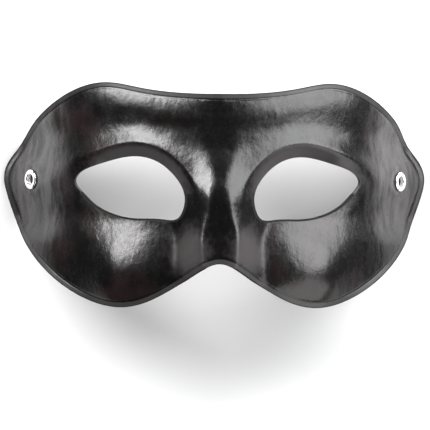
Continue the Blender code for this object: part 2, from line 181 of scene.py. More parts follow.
# Swell of the cheek: share of the height, of the rise, of the width to the nose, of the width to the ear
CHEEK = (
    (-0.50, 1.00, 1.50, 0.42),
    (-0.42, 1.00, 1.55, 0.44),
    (-0.35, 0.93, 1.60, 0.51),
    (-0.27, 0.66, 1.70, 0.56),
    (-0.19, 0.33, 1.80, 0.66),
    (-0.11, 0.08, 1.90, 0.95),
    (-0.03, 0.00, 2.00, 1.00),
    (0.50, 0.00, 2.10, 1.00),
)

# Lean of the cheeks' lower edge: share of the height, share of the lean
CHEEK_EDGE = (
    (-0.50, 1.00),
    (-0.44, 0.42),
    (-0.36, 0.10),
    (-0.26, 0.00),
    (-0.10, 0.00),
)

# How much the forehead's edge turns back: share of the half width, share of the turn
FOREHEAD = (
    (0.00, 0.00),
    (0.10, 0.55),
    (0.22, 0.75),
    (0.35, 0.75),
    (0.50, 0.60),
    (0.62, 0.35),
    (0.74, 0.00),
    (0.82, 0.00),
    (1.20, 0.00),
)

# Nose ridge down the middle: share of the height, of the rise, of the width, of the width that is flat
NOSE = (
    (-0.50, 1.08, 0.88, 0.25),
    (-0.30, 1.00, 0.88, 0.30),
    (-0.16, 0.93, 0.90, 0.30),
    (-0.08, 0.97, 1.03, 0.14),
    (0.00, 0.96, 1.12, 0.06),
    (0.10, 0.66, 1.18, 0.05),
    (0.20, 0.29, 1.25, 0.22),
    (0.30, 0.18, 1.25, 0.28),
    (0.40, 0.08, 1.83, 0.46),
    (0.50, 0.00, 1.83, 0.46),
)

# Half section across the nose: share of the way out from the flat, share of the rise
NOSE_SECTION = (
    (0.00, 1.00),
    (0.15, 0.96),
    (0.30, 0.83),
    (0.50, 0.62),
    (0.70, 0.41),
    (0.85, 0.26),
    (1.00, 0.13),
    (1.15, 0.04),
    (1.40, 0.00),
)

# Section across the brow, out from the eye hole: share of the brow's reach, share of its rise
BROW_SECTION = (
    (0.00, 0.65),
    (0.18, 0.93),
    (0.36, 1.00),
    (0.52, 0.72),
    (0.72, 0.33),
    (0.92, 0.085),
    (1.10, 0.00),
    (1.40, 0.00),
)

# Section across the socket, out from the eye hole: share of the socket's width, share of its depth
SOCKET_SECTION = (
    (0.00, 1.00),
    (0.25, 0.74),
    (0.50, 0.48),
    (0.75, 0.22),
    (1.00, 0.04),
    (1.30, 0.00),
    (1.70, 0.00),
)

# Round the eye, by angle from the temple over the brow: degrees, share of the brow's rise, of the
# socket's depth
AROUND_EYE = (
    (0, 0.22, 0.10),
    (30, 0.62, 0.25),
    (50, 0.68, 0.75),
    (70, 0.68, 1.00),
    (100, 0.73, 1.00),
    (120, 0.86, 0.80),
    (140, 0.78, 0.60),
    (160, 0.54, 0.50),
    (180, 0.12, 0.25),
    (205, 0.00, 0.05),
    (225, 0.00, 0.00),
    (265, 0.00, 0.00),
    (310, 0.00, 0.00),
    (360, 0.22, 0.10),
)


def length(name, description, default):
    """A length in metres that the sidebar shows."""
    return FloatProperty(name=name, description=description, default=default, unit="LENGTH", precision=5)


def share(name, description, default):
    """A plain number that the sidebar shows."""
    return FloatProperty(name=name, description=description, default=default, precision=4)


def colour(name, description, default):
    """A colour that the sidebar shows."""
    return FloatVectorProperty(
        name=name, description=description, default=default, subtype="COLOR", min=0, max=1, size=3
    )


class MaskShape(bpy.types.PropertyGroup):
    """Sizes of the moulded shell."""

    width: length("Width", "Across the face, from ear tip to ear tip", 0.176)
    height: length("Height", "From the cheeks' bottom to the brow's top", 0.091)
    wrap_depth: length("Wrap depth", "How far the sides fall back round the head", 0.052)
    wall: length("Wall", "Thickness of the moulded leather", 0.0018)
    lip_width: length("Lip width", "Width of the turned lip along the edge", 0.0021)
    lip_slope_kept: share("Lip slope kept", "Share of the face's slope that the lip keeps", 0.3)
    edge_round: length("Edge rounding", "Width of the rounding along the cut edges", 0.00045)
    foot_from: length("Foot from", "Where the level part of the side edges starts", -0.006)
    foot_to: length("Foot to", "Where the level part of the side edges ends", 0.018)
    foot_blend: length("Foot blend", "Length over which the side edges leave the level", 0.012)
    foot_reach: length("Foot reach", "How far in from the lip the face bends to the level edge", 0.016)
    foot_lift: length("Foot lift", "How far the lowest place of the side edge is lifted", 0.0015)
    foot_fold_rise: length("Fold rise", "Height of the lip's fold over the table at the foot", 0.0007)
    eye_width: length("Eye hole width", "Width of each eye hole", 0.0441)
    eye_height: length("Eye hole height", "Height of each eye hole", 0.0253)
    eye_from_middle: length("Eye from middle", "From the nose to the middle of an eye hole", 0.0359)
    eye_lift: length("Eye lift", "Height of an eye hole's middle over the mask's middle", 0.0029)
    forehead_lean: length("Forehead lean", "How far the forehead's edge turns back", 0.0024)
    forehead_turn: length("Forehead turn", "Width of the turn at the forehead's edge", 0.0102)
    cheek_edge_lean: length("Cheek edge lean", "How far the bottom edge leans back", 0.0058)
    nose_rise: length("Nose rise", "Height of the nose ridge", 0.0105)
    nose_width: length("Nose width", "Half width of the nose ridge at its foot", 0.0180)
    brow_rise: length("Brow rise", "Height of the ridge over each eye", 0.0027)
    brow_reach: length("Brow reach", "From the eye hole to the brow's upper foot", 0.0140)
    socket_depth: length("Socket depth", "How far the face falls to the eye hole", 0.0058)
    socket_width: length("Socket width", "Width over which the face falls to the eye hole", 0.0046)
    cheek_rise: length("Cheek rise", "Height of the cheeks' swell", 0.0052)
    cheek_from_middle: length("Cheek from middle", "From the nose to the middle of a cheek", 0.0408)
    cheek_inner_width: length("Cheek inner width", "Half width of the cheek towards the nose", 0.0175)
    cheek_outer_width: length("Cheek outer width", "Half width of the cheek towards the ear", 0.0240)
    flank_from_middle: length("Flank from middle", "From the nose to the middle of its dull flank", 0.0115)
    flank_width: length("Flank width", "Half width of the nose's dull flank", 0.0074)
    flank_height: length("Flank height", "Half height of the nose's dull flank", 0.0100)
    flank_lift: length("Flank lift", "Height of the dull flank's middle over the mask's middle", -0.0235)


class EyeletShape(bpy.types.PropertyGroup):
    """Sizes of the strap eyelets."""

    from_tip: length("From tip", "From the ear tip to the eyelet's middle", 0.0120)
    lift: length("Lift", "Height of the eyelet over the mask's middle", 0.0068)
    bore_radius: length("Bore radius", "Radius of the hole for the strap", 0.0022)
    sheet: length("Sheet", "Thickness of the metal", 0.0004)
    flange_radius: length("Flange radius", "Radius of the front flange", 0.00405)
    curl_radius: length("Curl radius", "Radius of the curled back edge", 0.0037)
    dome: length("Dome", "How far the front flange is domed", 0.0003)
    pad_margin: length("Pad margin", "Flat leather beyond the flange", 0.0006)
    pad_blend: length("Pad blend", "Width over which the flat blends into the face", 0.0050)
    gap: length("Gap", "Clearance between metal and leather", 0.0003)
    metal: colour("Metal", "Colour of the bright metal", (0.80, 0.80, 0.80))
    worn_metal: colour("Worn metal", "Colour where the plating has worn", (0.62, 0.57, 0.48))
    # Painted shade: a near-black colour laid over the bore's deep end, standing in for the shade deep in
    # the bore
    painted_bore_shade: colour("Dirt", "Colour of the dirt in the bore", (0.03, 0.028, 0.026))


class LeatherFinish(bpy.types.PropertyGroup):
    """Colours and finish of the leather."""

    black: colour("Black", "Main colour of the leather", (0.0020, 0.0018, 0.0019))
    brown: colour("Brown", "Warmer colour that shows in patches", (0.012, 0.0070, 0.0073))
    # Partly polish bloom and partly painted reflection: paler strokes at the sides, standing in for the
    # floor's reflection there
    bloom_and_painted_reflection: colour("Bloom", "Paler bloom in the strokes at the sides", (0.080, 0.077, 0.078))
    # Partly duller polish and partly painted reflection: the hollows of the sockets and nose flanks are
    # made paler
    dull_and_painted_reflection: colour("Dull", "Colour of the hollows, where the polish is dull", (0.030, 0.0255, 0.0262))
    # Partly thinner polish and partly painted highlight: the turned lip is made paler, standing in for its
    # reflection
    lip: colour("Lip", "Colour of the turned lip, where the polish is thinner", (0.034, 0.032, 0.032))
    back: colour("Back", "Colour of the unpolished inner side", (0.020, 0.017, 0.015))
    dust: colour("Dust", "Colour of the dust and bloom", (0.16, 0.15, 0.14))
    roughness: share("Roughness", "Roughness of the polished face", 0.20)
    refraction: share("Refraction", "Index of refraction of the polish", 1.40)


class Studio(bpy.types.PropertyGroup):
    """Camera, floor and lights."""

    camera_distance: length("Camera distance", "From the camera to the mask's middle", 0.95)
    lens: share("Lens", "Focal length in millimetres", 196.56)
    floor: colour("Floor", "Colour of the floor", (0.66, 0.66, 0.66))


def bend_of(knots, values, closed):
    """Second derivatives, at the knots, of the smooth cubic through them."""
    gaps = np.diff(knots)[:, None]
    rises = np.diff(values, axis=0) / gaps
    system = np.eye(len(knots))
    target = np.zeros_like(values)
    for i in range(1, len(knots) - 1):
        before, after = gaps[i - 1, 0], gaps[i, 0]
        system[i, i - 1 : i + 2] = before, 2 * (before + after), after
        target[i] = 6 * (rises[i] - rises[i - 1])
    if closed:
        first, last = gaps[0, 0], gaps[-1, 0]
        system[0, -1] = -1
        system[-1, :2] = 2 * first, first
        system[-1, -2:] = last, 2 * last
        target[-1] = 6 * (rises[0] - rises[-1])
    return np.linalg.solve(system, target)


def smooth_through(knots, values, at, closed=False):
    """The smooth cubic through rows of values at the knots, read at the places asked for."""
    knots = np.asarray(knots, float)
    values = np.asarray(values, float).reshape(len(knots), -1)
    bends = bend_of(knots, values, closed)
    at = np.clip(at, knots[0], knots[-1])
    span = np.clip(np.searchsorted(knots, at, side="right") - 1, 0, len(knots) - 2)
    gap = (knots[span + 1] - knots[span])[..., None]
    right = (at - knots[span])[..., None] / gap
    left = 1 - right
    bent = (left**3 - left) * bends[span] + (right**3 - right) * bends[span + 1]
    return left * values[span] + right * values[span + 1] + bent * gap**2 / 6


def follow(rows, at, column=1, closed=False):
    """One column of a table, read smoothly at the places asked for in its first column."""
    knots = [row[0] for row in rows]
    return smooth_through(knots, [row[column] for row in rows], at, closed)[..., 0]


def mirrored(rows):
    """A table that starts at 0 and is the same on both sides of it."""
    return tuple((-row[0], row[1]) for row in rows[:0:-1]) + tuple(rows)


def loop_through(points, steps):
    """A smooth closed loop through the points, divided evenly by length."""
    ring = np.array(list(points) + [points[0]], float)
    lengths = np.linalg.norm(np.diff(ring, axis=0), axis=1)
    knots = np.concatenate([[0], np.cumsum(lengths)])
    dense = smooth_through(knots, ring, np.linspace(0, knots[-1], 4 * steps + 1), True)
    run = np.concatenate([[0], np.cumsum(np.linalg.norm(np.diff(dense, axis=0), axis=1))])
    even = np.linspace(0, run[-1], steps, endpoint=False)
    return np.column_stack([np.interp(even, run, dense[:, i]) for i in (0, 1)])


def moved_sideways(loop, distance):
    """A loop moved to the right of the way that it runs, point for point."""
    along = np.roll(loop, -1, axis=0) - np.roll(loop, 1, axis=0)
    along /= np.linalg.norm(along, axis=1)[:, None]
    return loop + distance * np.column_stack([along[:, 1], -along[:, 0]])


def distance_to(loop, x, y):
    """How far each point lies from a loop."""
    points = np.column_stack([np.ravel(x), np.ravel(y)])
    ends = np.roll(loop, -1, axis=0)
    best = np.full(len(points), np.inf)
    for start, side in zip(loop, ends - loop):
        away = points - start
        part = np.clip(away @ side / (side @ side), 0, 1)
        best = np.minimum(best, ((away - part[:, None] * side) ** 2).sum(axis=1))
    return np.sqrt(best).reshape(np.shape(x))


def bell(distance, width):
    """1 in the middle, falling smoothly to 0 over about twice the width."""
    return np.exp(-((distance / width) ** 2))


def smooth_step(part):
    """0 below 0, 1 above 1, and smooth between them."""
    part = np.clip(part, 0, 1)
    return part**2 * (3 - 2 * part)


def reach(loop, middle):
    """A loop round the middle as a function from angle to radius."""
    away = loop - middle
    angle = np.arctan2(away[:, 1], away[:, 0]) % (2 * math.pi)
    order = np.argsort(angle)
    radius = np.linalg.norm(away, axis=1)[order]
    return lambda at: np.interp(at, angle[order], radius, period=2 * math.pi)


class Face:
    """The form of the mask: its outline, its eye hole and the height of its outer face."""

    def __init__(self, shape, eyelet):
        self.shape = shape
        self.eyelet = eyelet
        self.half = shape.width / 2
        half = [(x * self.half, y * shape.height) for _, x, y in OUTLINE]
        self.outline = loop_through(half + [(-x, y) for x, y in half[-2:0:-1]], OUTLINE_STEPS)
        self.eye_middle = np.array([shape.eye_from_middle, shape.eye_lift])
        size = np.array([shape.eye_width, shape.eye_height]) / 2
        self.eye = loop_through([self.eye_middle + size * (x, y) for _, x, y in EYE_HOLE], OUTLINE_STEPS)
        self.fold = self.side_fold()
        self.seat, self.seat_slope = self.eyelet_seat()

    def wrap(self, x, y):
        """The plain wrap round the head, with the lean of the cheeks' lower edge."""
        s = self.shape
        up = y / s.height
        across = np.abs(x) / self.half * follow(TIGHTER, up)
        plain = s.wrap_depth * (1 - follow(mirrored(WRAP), across))
        return plain - s.cheek_edge_lean * follow(CHEEK_EDGE, up)

    def to_edge(self, x, y):
        """How far each place lies from the outer edge."""
        return distance_to(self.outline[::OUTLINE_STRIDE], x, y)

    def round_eye(self, x, y):
        """How far each place lies from the nearer eye hole, and its angle in degrees from the temple."""
        away = distance_to(self.eye[::OUTLINE_STRIDE], np.abs(x), y)
        right, up = np.abs(x) - self.shape.eye_from_middle, y - self.shape.eye_lift
        return away, np.degrees(np.arctan2(up, right)) % 360

    def forehead(self, x, y):
        """How far the face turns back along the forehead's edge."""
        s = self.shape
        away = self.to_edge(x, y)
        part = np.where(y > 0, np.clip(1 - away / s.forehead_turn, 0, None), 0)
        return s.forehead_lean * part**2 * follow(FOREHEAD, np.abs(x) / self.half)

    def nose(self, x, y):
        """The ridge of the nose."""
        up = y / self.shape.height
        width = self.shape.nose_width * follow(NOSE, up, 2)
        flat = self.shape.nose_width * follow(NOSE, up, 3)
        out = np.clip(np.abs(x) - flat, 0, None) / (width - flat)
        return self.shape.nose_rise * follow(NOSE, up) * follow(mirrored(NOSE_SECTION), out)

    def cheek(self, x, y):
        """The swell of the cheeks below the eyes."""
        s = self.shape
        up = y / s.height
        out = np.abs(x) - s.cheek_from_middle
        inner = s.cheek_inner_width * follow(CHEEK, up, 2)
        outer = s.cheek_outer_width * follow(CHEEK, up, 3)
        return s.cheek_rise * follow(CHEEK, up) * bell(out, np.where(out < 0, inner, outer))

    def brow(self, x, y):
        """The brow's ridge round the eye, and the socket that falls from it to the hole."""
        s = self.shape
        away, angle = self.round_eye(x, y)
        ridge = s.brow_rise * follow(AROUND_EYE, angle, 1, True)
        fall = s.socket_depth * follow(AROUND_EYE, angle, 2, True)
        ridge = ridge * follow(BROW_SECTION, away / s.brow_reach)
        return ridge - fall * follow(SOCKET_SECTION, away / s.socket_width)

    def raised_height(self, x, y):
        """Height of the outer face before the side edges are levelled."""
        plain = self.wrap(x, y) - self.forehead(x, y)
        return plain + self.nose(x, y) + self.cheek(x, y) + self.brow(x, y)

    def side_fold(self):
        """Places along the side, from the cheek up, and the height of the lip's fold there."""
        fold = moved_sideways(self.outline, self.shape.lip_width)
        side = fold[fold[:, 0] > SIDE_FROM * self.half][:: -2 * OUTLINE_STRIDE]
        return side[:, 1], self.raised_height(side[:, 0], side[:, 1])

    def free_height(self, x, y):
        """Height of the outer face before the eyelets press their pads flat."""
        s = self.shape
        up, fold = self.fold
        base = fold.min() + s.foot_lift
        above = smooth_step((up - s.foot_from) / s.foot_blend + 1)
        near = above * smooth_step((s.foot_to - up) / s.foot_blend + 1)
        away = self.to_edge(x, y) - s.lip_width
        part = np.clip(1 - away / s.foot_reach, 0, 1)
        levelled = np.interp(y, up, (fold - base) * near) * part**2
        return self.raised_height(x, y) - base + s.foot_fold_rise - levelled

    def eyelet_seat(self):
        """Where the right-hand eyelet's middle meets the outer face, and the face's two slopes there."""
        x, y = self.half - self.eyelet.from_tip, self.eyelet.lift
        step = 0.5 * self.eyelet.flange_radius
        xs = np.array([x, x + step, x - step, x, x])
        ys = np.array([y, y, y, y + step, y - step])
        z = self.free_height(xs, ys)
        return (x, y, z[0]), ((z[1] - z[2]) / (2 * step), (z[3] - z[4]) / (2 * step))

    def height(self, x, y):
        """Height of the outer face."""
        (at_x, at_y, at_z), (slope_x, slope_y) = self.seat, self.seat_slope
        out, up = np.abs(x) - at_x, y - at_y
        plane = at_z + slope_x * out + slope_y * up
        away = np.sqrt(out**2 * (1 + slope_x**2) + up**2 * (1 + slope_y**2))
        flat = self.eyelet.flange_radius + self.eyelet.pad_margin
        part = np.clip((away - flat) / self.eyelet.pad_blend, 0, 1)
        blend = part**3 * (10 - 15 * part + 6 * part**2)
        return plane + blend * (self.free_height(x, y) - plane)

    def marks(self, x, y):
        """What the finish needs to know of places, in the order of MARKS."""
        s = self.shape
        away, angle = self.round_eye(x, y)
        socket = follow(SOCKET_SECTION, away / (SOCKET_MARK_WIDTH * s.socket_width))
        flank = bell(np.abs(x) - s.flank_from_middle, s.flank_width)
        flank = flank * bell(y - s.flank_lift, s.flank_height)
        below = smooth_step((s.eye_lift - y) / LID_TURN + 0.5)
        return (
            self.to_edge(x, y) * 1000,
            away * 1000 + UPPER_LID_AWAY * (1 - below),
            np.maximum(follow(AROUND_EYE, angle, 2, True) * socket, FLANK_MARK * flank),
        )


def spoke_angles(hole, rim):
    """Angles round the eye's middle that divide both the hole and the rim about evenly."""
    spread = np.linspace(0, 2 * math.pi, OUTLINE_STEPS + 1)
    lengths = []
    for radius in (hole, rim):
        run = radius(spread)[:, None] * np.column_stack([np.cos(spread), np.sin(spread)])
        lengths.append(np.linalg.norm(np.diff(run, axis=0), axis=1))
    weight = lengths[0] / lengths[0].sum() + lengths[1] / lengths[1].sum()
    return spread, np.concatenate([[0], np.cumsum(weight)]) / weight.sum()


def spokes(face, fold, hole_at, rim_at):
    """Angles of the spokes round the eye's middle, and how many of the first ones end on the rim."""
    spread, part = spoke_angles(hole_at, rim_at)
    top, arch = (math.atan2(*(fold[i] - face.eye_middle)[::-1]) % (2 * math.pi) for i in (0, -1))
    parts = np.interp([top, arch], spread, part)
    middle_spokes = round(SPOKES * (parts[1] - parts[0]))
    rim_parts = np.linspace(parts[1], parts[0] + 1, SPOKES - middle_spokes + 1)[::-1]
    line_parts = np.linspace(parts[1], parts[0], middle_spokes + 1)[1:-1]
    return np.interp(np.concatenate([rim_parts, line_parts]) % 1, part, spread), len(rim_parts)


def inner_rings(face, angles, hole_at, rim_at):
    """Rings from the eye hole out to the lip's fold and the middle line."""
    middle = face.eye_middle
    ray = np.column_stack([np.cos(angles), np.sin(angles)])
    radii = [hole_at(angles)]
    for i in range(SOCKET_RINGS):
        radii.append(reach(moved_sideways(face.eye, (i + 1) * SOCKET_STEP), middle)(angles))
    inner, outer = radii[-1], rim_at(angles)
    shares = 1 - np.linspace(1, 0, FACE_RINGS + 1)[1:] ** RING_CROWDING
    radii += [inner + part * (outer - inner) for part in shares]
    return [middle + ray * radius[:, None] for radius in radii]


def lip_rings(face, fold, angles):
    """Rings from the lip's fold out to the edge, where the spokes meet the rim."""
    edge = face.outline[: len(fold)]
    fold_angle = np.unwrap(np.arctan2(fold[:, 1] - face.eye_middle[1], fold[:, 0] - face.eye_middle[0]))
    ask = np.unwrap(angles)
    ask += 2 * math.pi * round((fold_angle[0] - ask[0]) / (2 * math.pi))
    place = np.interp(-ask, -fold_angle, np.arange(len(fold)))
    rings = []
    for part in np.arange(LIP_RINGS + 1) / LIP_RINGS:
        strip = fold + part * (edge - fold)
        ring = np.column_stack([np.interp(place, np.arange(len(fold)), strip[:, i]) for i in (0, 1)])
        ring[[0, -1], 0] = 0
        rings.append(ring)
    return rings


def half_domain(face):
    """The right half seen from the front: its rings, and how many points of each lie along the rim."""
    fold = moved_sideways(face.outline, face.shape.lip_width)[: OUTLINE_STEPS // 2 + 1]
    fold[[0, -1], 0] = 0
    rise = np.linspace(fold[-1, 1], fold[0, 1], OUTLINE_STEPS // 4)[1:-1]
    boundary = np.vstack([fold, np.column_stack([np.zeros_like(rise), rise])])
    hole_at, rim_at = reach(face.eye, face.eye_middle), reach(boundary, face.eye_middle)
    angles, on_rim = spokes(face, fold, hole_at, rim_at)
    rings = inner_rings(face, angles, hole_at, rim_at)
    lip = lip_rings(face, fold, angles[:on_rim])
    rings[RINGS][:on_rim] = lip[0]
    rings[RINGS][on_rim:, 0] = 0
    return rings + lip[1:], on_rim


def raised(face, rings, on_rim):
    """The rings of the right half, raised to the height of the outer face and of the lip."""
    placed = [np.column_stack([ring, face.height(ring[:, 0], ring[:, 1])]) for ring in rings[: RINGS + 1]]
    fold, edge = rings[RINGS][:on_rim], rings[-1]
    out = (edge - fold) / np.linalg.norm(edge - fold, axis=1)[:, None]
    step = 0.5 * face.shape.lip_width
    inside = fold - step * out
    fold_height = placed[RINGS][:on_rim, 2]
    slope = (fold_height - face.height(inside[:, 0], inside[:, 1])) / step
    for ring in rings[RINGS + 1 :]:
        width = np.linalg.norm(ring - fold, axis=1)
        height = np.clip(fold_height + face.shape.lip_slope_kept * slope * width, 0, None)
        placed.append(np.column_stack([ring, height]))
    return placed


def shell_sheet(face):
    """The mask's outer face as one open mesh, with the marks that its finish reads."""
    rings, on_rim = half_domain(face)
    marks = [face.marks(ring[:, 0], ring[:, 1]) for ring in rings]
    rings = raised(face, rings, on_rim)
    mesh = bmesh.new()
    layers = [mesh.verts.layers.float.new(name) for name in MARKS]
    for side in (1, -1):
        made = [[mesh.verts.new((side * x, y, z)) for x, y, z in ring] for ring in rings]
        for ring, values in zip(made, marks):
            for layer, amounts in zip(layers, values):
                for vert, amount in zip(ring, amounts):
                    vert[layer] = amount
        for k in range(len(made) - 1):
            inner, outer = made[k], made[k + 1]
            for i in range(len(outer) if k < RINGS else on_rim - 1):
                j = (i + 1) % len(outer)
                corners = (inner[i], outer[i], outer[j], inner[j])
                mesh.faces.new(corners[::-side])
    bmesh.ops.remove_doubles(mesh, verts=mesh.verts, dist=1e-6)
    return mesh


def add_object(name, mesh, surfaces=()):
    """A mesh as a named object in the scene."""
    data = bpy.data.meshes.new(name)
    mesh.to_mesh(data)
    mesh.free()
    data.shade_smooth()
    made = bpy.data.objects.new(name, data)
    bpy.context.scene.collection.objects.link(made)
    for surface in surfaces:
        data.materials.append(surface)
    return made


def add_modifier(piece, name, kind, **settings):
    """A modifier with its settings."""
    made = piece.modifiers.new(name, kind)
    for setting, value in settings.items():
        setattr(made, setting, value)


def corners_of(piece):
    """Lowest and highest corner of a piece with its modifiers."""
    bpy.context.view_layer.update()
    shown = piece.evaluated_get(bpy.context.evaluated_depsgraph_get())
    points = np.array([shown.matrix_world @ v.co for v in shown.to_mesh().vertices])
    return points.min(axis=0), points.max(axis=0)


def eyelet_place(face, side):
    """The frame of an eyelet: its middle on the outer face, its own Z along the face's normal."""
    (x, y, z), (slope_x, slope_y) = face.seat, face.seat_slope
    normal = Vector((-side * slope_x, -slope_y, 1)).normalized()
    turn = normal.to_track_quat("Z", "Y").to_matrix().to_4x4()
    return Matrix.Translation((side * x, y, z)) @ turn


def shell_shift(shell):
    """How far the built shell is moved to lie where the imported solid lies."""
    low, high = corners_of(shell)
    built = (low + high) / 2
    middle = (SHELL_BOX[0] + SHELL_BOX[1]) / 2
    return Vector((middle.x - built[0], middle.y - built[1], SHELL_BOX[0].z - low[2]))


def set_input(tree, socket, value):
    """Links a socket to another, or gives it a plain value."""
    if isinstance(value, bpy.types.NodeSocket):
        tree.links.new(value, socket)
    else:
        socket.default_value = value


def node(tree, kind, *values, **settings):
    """A node with its settings, and its inputs given in order; None leaves an input as it is."""
    made = tree.nodes.new(kind)
    for name, value in settings.items():
        setattr(made, name, value)
    for socket, value in zip(made.inputs, values):
        if value is not None:
            set_input(tree, socket, value)
    return made


def sum_of(tree, *values):
    """The sum of several values."""
    total = values[0]
    for value in values[1:]:
        total = node(tree, "ShaderNodeMath", total, value, operation="ADD").outputs[0]
    return total


def times(tree, first, second):
    """The product of two values."""
    return node(tree, "ShaderNodeMath", first, second, operation="MULTIPLY").outputs[0]


def absolute(tree, value):
    """The value without its sign."""
    return node(tree, "ShaderNodeMath", value, operation="ABSOLUTE").outputs[0]


def ramp(tree, value, low, high):
    """0 on the low value's side, 1 on the high value's side, and smooth between them."""
    made = node(tree, "ShaderNodeMapRange", value, low, high, interpolation_type="SMOOTHSTEP")
    return made.outputs["Result"]


def weighted(tree, base, *parts):
    """A base and several values, each times its weight, added up."""
    return sum_of(tree, base, *(times(tree, value, weight) for value, weight in parts))


def layered(tree, tint, *layers):
    """A colour with others laid over it in turn, each by its amount from 0 to 1."""
    for amount, over in layers:
        made = node(tree, "ShaderNodeMix", data_type="RGBA")
        by_name = {(socket.name, socket.type): socket for socket in made.inputs}
        set_input(tree, by_name["Factor", "VALUE"], amount)
        for name, value in (("A", tint), ("B", over)):
            if not isinstance(value, bpy.types.NodeSocket):
                value = (*value, 1)
            set_input(tree, by_name[name, "RGBA"], value)
        tint = next(socket for socket in made.outputs if socket.type == "RGBA")
    return tint


def new_group(name, inputs, output):
    """An empty node group with number inputs after its Vector: the tree, its inputs and its output."""
    tree = bpy.data.node_groups.new(name, "ShaderNodeTree")
    tree.interface.new_socket("Vector", in_out="INPUT", socket_type="NodeSocketVector")
    for label, value in inputs:
        socket = tree.interface.new_socket(label, in_out="INPUT", socket_type="NodeSocketFloat")
        socket.default_value = value
    tree.interface.new_socket(output, in_out="OUTPUT", socket_type="NodeSocketFloat")
    return tree, tree.nodes.new("NodeGroupInput").outputs, tree.nodes.new("NodeGroupOutput").inputs[0]


def smear_group():
    """Soft uneven patches, drawn out along Y where Along is smaller than Across."""
    tree, given, result = new_group(
        "smears", (("Across", 100.0), ("Along", 100.0), ("Low", 0.35), ("High", 0.65)), "Amount"
    )
    scale = node(tree, "ShaderNodeCombineXYZ", given["Across"], given["Along"], given["Across"])
    place = node(tree, "ShaderNodeVectorMath", given["Vector"], scale.outputs[0], operation="MULTIPLY")
    noise = node(tree, "ShaderNodeTexNoise", place.outputs[0], None, 1.0, 3.0, 0.55)
    tree.links.new(ramp(tree, noise.outputs[0], given["Low"], given["High"]), result)
    return tree


def pore_group():
    """Height of a fine leather grain: rounded cells with smaller ones among them."""
    tree, given, result = new_group("pores", (("Size", 0.0008), ("Depth", 0.00001)), "Height")
    scale = node(tree, "ShaderNodeMath", 1.0, given["Size"], operation="DIVIDE").outputs[0]
    cells = []
    for factor in (1.0, 2.7):
        density = times(tree, scale, factor)
        cell = node(tree, "ShaderNodeTexVoronoi", given["Vector"], None, density, feature="SMOOTH_F1")
        cells.append(times(tree, cell.outputs["Distance"], 1 / factor))
    tree.links.new(times(tree, sum_of(tree, *cells), given["Depth"]), result)
    return tree


def speck_group():
    """Sparse small specks, such as dust or worn points."""
    tree, given, result = new_group("specks", (("Size", 0.0010), ("Share", 0.1)), "Amount")
    scale = node(tree, "ShaderNodeMath", 1.0, given["Size"], operation="DIVIDE").outputs[0]
    noise = node(tree, "ShaderNodeTexNoise", given["Vector"], None, scale, 2.0)
    high = node(tree, "ShaderNodeMath", 0.80, given["Share"], operation="SUBTRACT").outputs[0]
    low = node(tree, "ShaderNodeMath", high, 0.10, operation="SUBTRACT").outputs[0]
    tree.links.new(ramp(tree, noise.outputs[0], low, high), result)
    return tree


def shared(name):
    """A node group by name, built the first time that it is asked for."""
    makers = {"smears": smear_group, "pores": pore_group, "specks": speck_group}
    return bpy.data.node_groups.get(name) or makers[name]()


def effect(tree, name, vector, *values):
    """One of the shared effects in a material, with its own values."""
    made = tree.nodes.new("ShaderNodeGroup")
    made.node_tree = shared(name)
    for socket, value in zip(made.inputs, (vector, *values)):
        set_input(tree, socket, value)
    return made.outputs[0]


def mark_of(tree, name):
    """One of the marks that the mesh carries at its corners."""
    made = tree.nodes.new("ShaderNodeAttribute")
    made.attribute_name = name
    return made.outputs["Fac"]


def new_material(name):
    """An empty node material and its Principled shader."""
    made = bpy.data.materials.new(name)
    made.use_nodes = True
    return made, made.node_tree.nodes["Principled BSDF"]


def finish_surface(tree, shader, tint, roughness, height):
    """Joins colour, roughness and a height in metres to a shader."""
    tree.links.new(tint, shader.inputs["Base Color"])
    tree.links.new(roughness, shader.inputs["Roughness"])
    bump = tree.nodes.new("ShaderNodeBump")
    bump.inputs["Distance"].default_value = 1.0
    tree.links.new(height, bump.inputs["Height"])
    tree.links.new(bump.outputs["Normal"], shader.inputs["Normal"])


# Short creases in the leather over and under each eyelet, dented and darkened with painted shade: how far
# from the middle, half their width, the length over which they start, and the heights where they start and
# end
CREASE_FROM_MIDDLE = 0.0760
CREASE_HALF_WIDTH = 0.0005
CREASE_START = 0.0002
CREASES = ((0.0108, 0.0146), (0.0026, -0.0004))


def crease_mask(tree, across, up):
    """1 on the creases, fading to their far ends."""
    parts = []
    for near, far in CREASES:
        before = near - math.copysign(CREASE_START, far - near)
        parts.append(times(tree, ramp(tree, up, before, near), ramp(tree, up, far, near)))
    off = absolute(tree, sum_of(tree, across, -CREASE_FROM_MIDDLE))
    return times(tree, ramp(tree, off, CREASE_HALF_WIDTH, 0.2 * CREASE_HALF_WIDTH), sum_of(tree, *parts))


